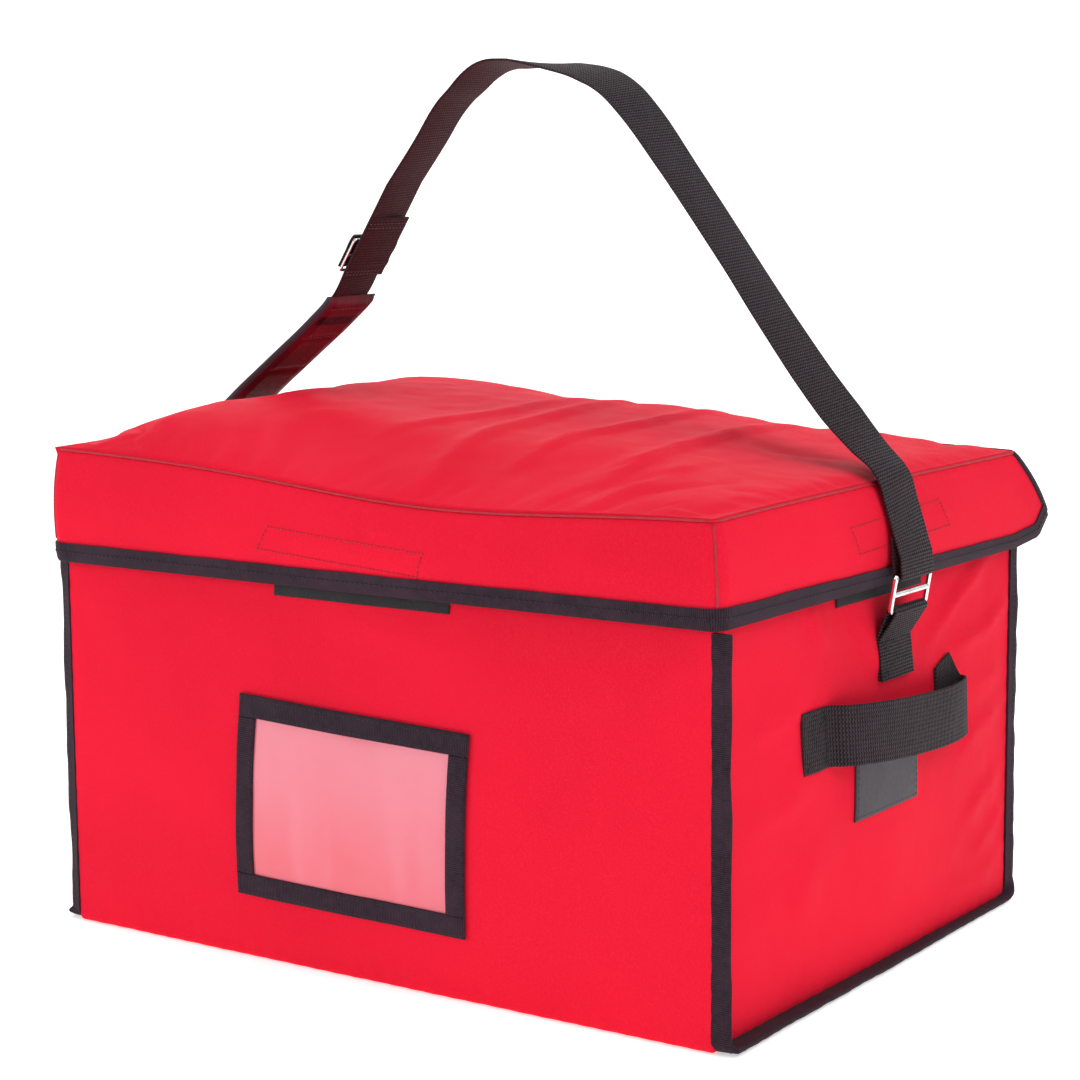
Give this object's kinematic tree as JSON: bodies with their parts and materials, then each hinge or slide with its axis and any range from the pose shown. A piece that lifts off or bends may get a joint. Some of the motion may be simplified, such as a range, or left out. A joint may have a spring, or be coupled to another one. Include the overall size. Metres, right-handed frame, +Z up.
{
  "type": "insulated delivery bag",
  "caption": "Box-shaped insulated fabric bag with a hinged padded lid, front window pocket, side handles and a shoulder strap with a sliding adjuster and pad.",
  "frame": {"origin": "middle of the bag's underside, on the surface it stands on", "axes": "+X to the bag's right side, -Y to the front with the window pocket, +Z up"},
  "size_m": [0.5034, 0.3931, 0.517],
  "materials": {
    "coated_fabric": "coated red fabric, low sheen",
    "binding_tape": "dark woven binding tape",
    "webbing": "dark woven webbing and loop tape",
    "foam": "closed-cell foam",
    "foil_liner": "foil-faced liner",
    "board": "stiff board",
    "vinyl_sheet": "clear vinyl over the red panel",
    "chromed_steel": "bright plated wire",
    "pad": "dark red padded fabric"
  },
  "bodies": {
    "bag": {"outer_wrap": "coated_fabric", "side_panel_right": "coated_fabric", "side_panel_left": "coated_fabric", "base_board": "board", "foam_bottom": "foam", "foam_front": "foam", "foam_back": "foam", "foam_right": "foam", "foam_left": "foam", "liner": "foil_liner", "rim_binding": "binding_tape", "side_binding_right": "binding_tape", "side_binding_left": "binding_tape", "front_loop_strip": "webbing", "right_loop_strip": "webbing", "left_loop_strip": "webbing", "window_sheet": "vinyl_sheet", "window_tape_bottom": "binding_tape", "window_tape_top": "binding_tape", "window_tape_left": "binding_tape", "window_tape_right": "binding_tape", "label_patch": "webbing", "hinge_strip": "coated_fabric", "handle_right_front_tab": "webbing", "handle_right_rear_tab": "webbing", "handle_left_front_tab": "webbing", "handle_left_rear_tab": "webbing", "anchor_tab_right": "webbing", "anchor_tab_left": "webbing"},
    "lid": {"lid_cover": "coated_fabric", "lid_foam": "foam", "lid_liner": "foil_liner", "lid_skirt_front": "coated_fabric", "lid_skirt_right": "coated_fabric", "lid_skirt_left": "coated_fabric", "lid_edge_binding": "binding_tape", "lid_back_binding": "binding_tape", "front_hook_strip": "webbing", "right_hook_strip": "webbing", "left_hook_strip": "webbing"},
    "strap": {"strap_webbing": "webbing", "ring_right": "chromed_steel", "ring_left": "chromed_steel", "shoulder_pad": "pad"},
    "adjuster": {"adjuster_frame": "chromed_steel", "adjuster_loop": "webbing"},
    "handle_right": {"handle_right_grip": "webbing"},
    "handle_left": {"handle_left_grip": "webbing"}
  },
  "joints": [
    {"name": "lid_hinge", "type": "hinge", "parent": "bag", "child": "lid", "pos_m": [0, 0.1772, 0.273], "axis": [-1, 0, 0], "range_deg": [0, 165], "deforming": ["strap_webbing", "shoulder_pad", "adjuster_frame", "adjuster_loop"]},
    {"name": "strap_swing", "type": "hinge", "parent": "bag", "child": "strap", "pos_m": [0, 0.0105, 0.21675], "axis": [1, 0, 0], "range_deg": [-20, 20], "deforming": ["anchor_tab_right", "anchor_tab_left"]},
    {"name": "adjuster_slide", "type": "slide", "parent": "strap", "child": "adjuster", "axis": [0.5406, 0, 0.8413], "range_m": [-0.006, 0.045]},
    {"name": "handle_right_lift", "type": "hinge", "parent": "bag", "child": "handle_right", "pos_m": [0.24151, 0, 0.1473], "axis": [0, 1, 0], "range_deg": [-15, 20]},
    {"name": "handle_left_lift", "type": "hinge", "parent": "bag", "child": "handle_left", "pos_m": [-0.24151, 0, 0.1473], "axis": [0, -1, 0], "range_deg": [-15, 20]}
  ]
}
